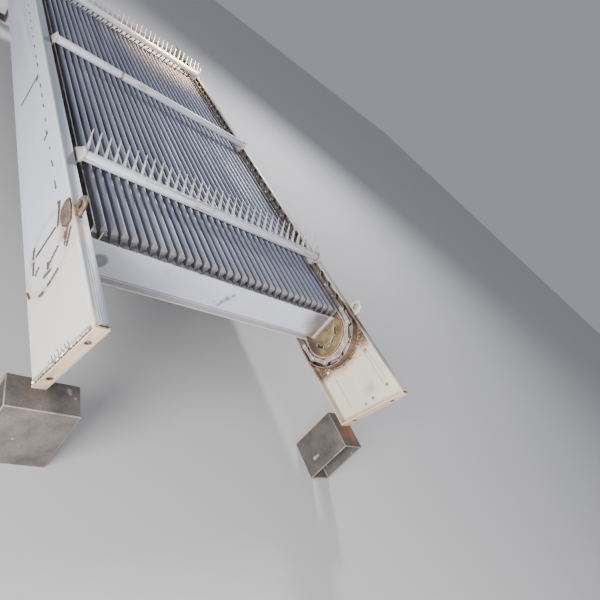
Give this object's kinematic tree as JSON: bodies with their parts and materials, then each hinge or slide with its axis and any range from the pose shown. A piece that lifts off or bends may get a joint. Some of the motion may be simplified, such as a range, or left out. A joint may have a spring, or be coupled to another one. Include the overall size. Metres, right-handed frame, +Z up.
{
  "type": "raking bar screen",
  "caption": "Inclined bar screen with chain-drawn toothed rakes between two channel side frames, lying on its back on box-section stools.",
  "frame": {"origin": "on the floor under the middle of the frames, at the middle of their length", "axes": "+X across the screen to the right when seen from the foot, +Y along the frames from the foot to the head, +Z up"},
  "size_m": [2.2132, 6.012, 0.9812],
  "materials": {
    "brushed_stainless": "pale milled stainless plate, scuffed, with heat tint at the welds",
    "cream_plate": "pale plate with a warm cast and brown weld lines",
    "rusted_plate": "dull plate with rust film",
    "rack_bar": "blue-grey drawn bar, satin",
    "pale_beam": "pale bent plate with fine specks",
    "rail_flat": "bent flat bar with brown heat tint",
    "tinted_disc": "flame-cut plate, straw and brown tint",
    "chain_link": "stamped link plates, satin",
    "rake_tube": "whitish pickled tube with fine scratches",
    "shaft_steel": "turned steel",
    "bearing_cast": "dull grey casting",
    "rusty_box": "brown rusted box section with worn edges"
  },
  "bodies": {
    "root": {"beam_end_flats": "pale_beam", "bottom_beam": "pale_beam", "disc_stays": "rail_flat", "discharge_apron": "pale_beam", "far_left_stool": "rusty_box", "far_right_stool": "rusty_box", "foot_plates": "cream_plate", "front_chain_rails": "rail_flat", "guide_discs": "tinted_disc", "head_beam": "pale_beam", "head_shaft": "shaft_steel", "inner_chain_hoops": "rail_flat", "left_chain_front_run": "chain_link", "left_chain_lower_turn": "chain_link", "left_chain_return_run": "chain_link", "left_chain_upper_turn": "chain_link", "left_head_sprocket": "shaft_steel", "left_rack_bars": "rack_bar", "left_side_frame": "brushed_stainless", "lifting_eyes": "rusted_plate", "lower_toothed_rake": "rake_tube", "middle_plain_rake": "rake_tube", "middle_rack_bars": "rack_bar", "near_left_stool": "rusty_box", "near_right_stool": "rusty_box", "outer_chain_hoops": "rail_flat", "rack_cross_flats": "pale_beam", "rack_side_bars": "rack_bar", "return_chain_rails": "rail_flat", "return_lower_plain_rake": "rake_tube", "return_middle_toothed_rake": "rake_tube", "return_upper_plain_rake": "rake_tube", "right_chain_front_run": "chain_link", "right_chain_lower_turn": "chain_link", "right_chain_return_run": "chain_link", "right_chain_upper_turn": "chain_link", "right_head_sprocket": "shaft_steel", "right_rack_bars": "rack_bar", "right_side_frame": "brushed_stainless", "shaft_bearings": "bearing_cast", "upper_toothed_rake": "rake_tube"}
  },
  "joints": []
}
